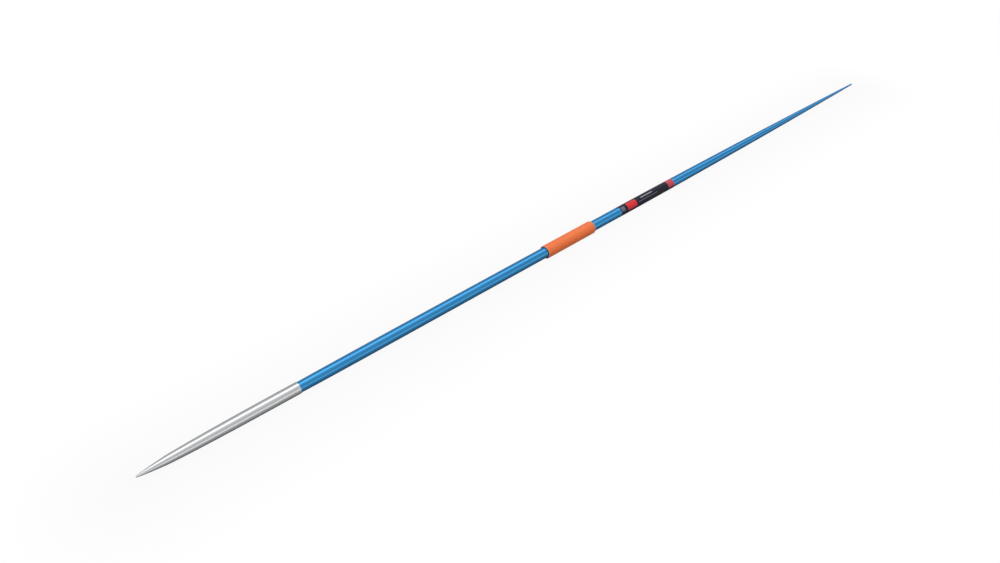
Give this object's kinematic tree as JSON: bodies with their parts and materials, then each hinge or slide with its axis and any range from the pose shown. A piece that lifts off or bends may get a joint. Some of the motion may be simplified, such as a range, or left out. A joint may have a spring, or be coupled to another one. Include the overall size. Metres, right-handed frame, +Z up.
{
  "type": "javelin",
  "caption": "Throwing javelin with a silver ogive head, blue tapered metal shaft, orange cylindrical grip, banded label and a fine tapered tail.",
  "frame": {"origin": "on the ground midway along the javelin, straight below its axis, with the javelin lying level on the underside of its grip", "axes": "+X along the axis from the front of the head to the end of the tail, +Z up"},
  "size_m": [2.3, 0.03, 0.03],
  "materials": {
    "point_steel": "satin, flush with the head",
    "head_metal": "satin, turned along its length",
    "weight_brass": "turned",
    "plug_plastic": "moulded",
    "shaft_blue": "blue anodised, semi-gloss",
    "damper_foam": "closed-cell foam",
    "sleeve_metal": "mill finish",
    "grip_tape": "woven tape",
    "grip_rubber": "matte",
    "label_film": "printed film, semi-gloss"
  },
  "bodies": {
    "root": {"head_point": "point_steel", "head_shell": "head_metal", "balance_weight": "weight_brass", "socket_plug": "plug_plastic", "front_tube": "shaft_blue", "front_damper": "damper_foam", "joint_sleeve": "sleeve_metal", "rear_tube": "shaft_blue", "rear_damper": "damper_foam", "tail_plug": "shaft_blue", "grip_underlay": "grip_tape", "grip_sleeve": "grip_rubber", "label_film": "label_film"}
  },
  "joints": []
}
